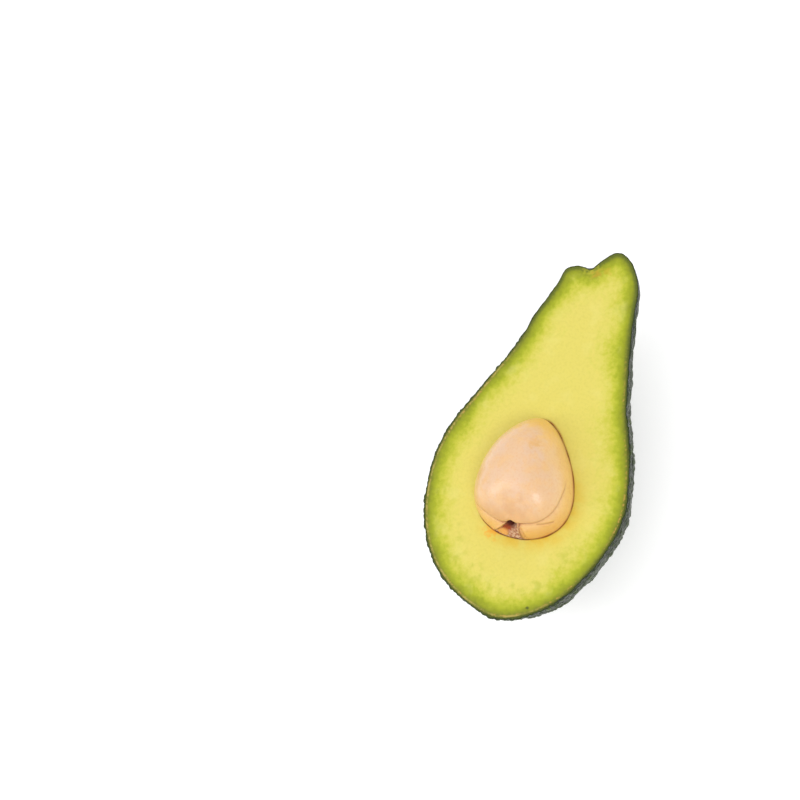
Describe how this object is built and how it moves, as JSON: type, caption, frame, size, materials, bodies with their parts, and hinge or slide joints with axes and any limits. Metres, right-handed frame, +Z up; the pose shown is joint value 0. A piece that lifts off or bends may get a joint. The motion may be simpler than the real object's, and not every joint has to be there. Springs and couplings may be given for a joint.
{
  "type": "avocado half with seed",
  "caption": "Lengthwise avocado half on its back: pebbled dark green skin, level pale yellow-green cut flesh, and the whole seed standing out of its hollow.",
  "frame": {"origin": "on the table, in the flat spot the half rests on, straight under its centre of mass", "axes": "+Z up, square to the level cut face; +Y along the fruit towards the stem end; +X to the right, seen from above with the stem end away"},
  "size_m": [0.0666, 0.1211, 0.0459],
  "materials": {
    "skin": "semi-gloss, pebbled",
    "flesh": "moist, smooth",
    "seed": "smooth, slightly glossy"
  },
  "bodies": {
    "root": {"skin": "skin", "flesh": "flesh", "seed": "seed"}
  },
  "joints": []
}
